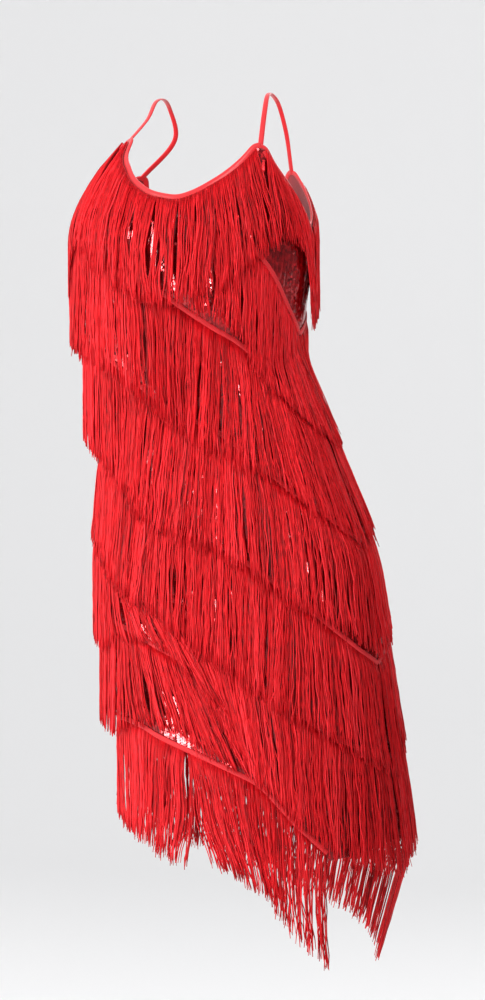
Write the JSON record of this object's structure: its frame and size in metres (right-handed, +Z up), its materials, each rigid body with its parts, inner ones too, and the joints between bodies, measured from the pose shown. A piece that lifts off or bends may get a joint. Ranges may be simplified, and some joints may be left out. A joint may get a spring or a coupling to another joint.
{
  "type": "fringed stage dress",
  "caption": "Sleeveless strapped stage dress of sequinned stretch cloth with slanted rows of long fringe and an uneven fringed hem, hollow and open at neck, arms and hem.",
  "frame": {"origin": "midway between the tops of the two straps, where the wearer's shoulders carry the dress", "axes": "+Z up as worn, -Y is the way the front faces, +X is the wearer's left"},
  "size_m": [0.3949, 0.2557, 0.9361],
  "materials": {
    "sequin_cloth": "stretch cloth covered with small shiny sequins",
    "binding": "smooth satin stretch binding",
    "fringe": "fine lustrous chainette fringe"
  },
  "bodies": {
    "root": {"front_panel": "sequin_cloth", "back_panel": "sequin_cloth", "neck_binding_front": "binding", "neck_binding_back": "binding", "armhole_binding_left": "binding", "armhole_binding_right": "binding", "strap_left": "binding", "strap_right": "binding", "fringe_neck_front": "fringe", "fringe_neck_back": "fringe", "fringe_arm_front_left": "fringe", "fringe_arm_front_right": "fringe", "fringe_arm_back_left": "fringe", "fringe_arm_back_right": "fringe", "fringe_bust_front": "fringe", "fringe_bust_back": "fringe", "fringe_row1_front": "fringe", "fringe_row1_back": "fringe", "fringe_row2_front": "fringe", "fringe_row2_back": "fringe", "fringe_row3_front": "fringe", "fringe_row3_back": "fringe", "fringe_row4_front": "fringe", "fringe_row4_back": "fringe", "fringe_row5_front": "fringe", "fringe_row5_back": "fringe", "fringe_hem_front": "fringe", "fringe_hem_back": "fringe"}
  },
  "joints": []
}
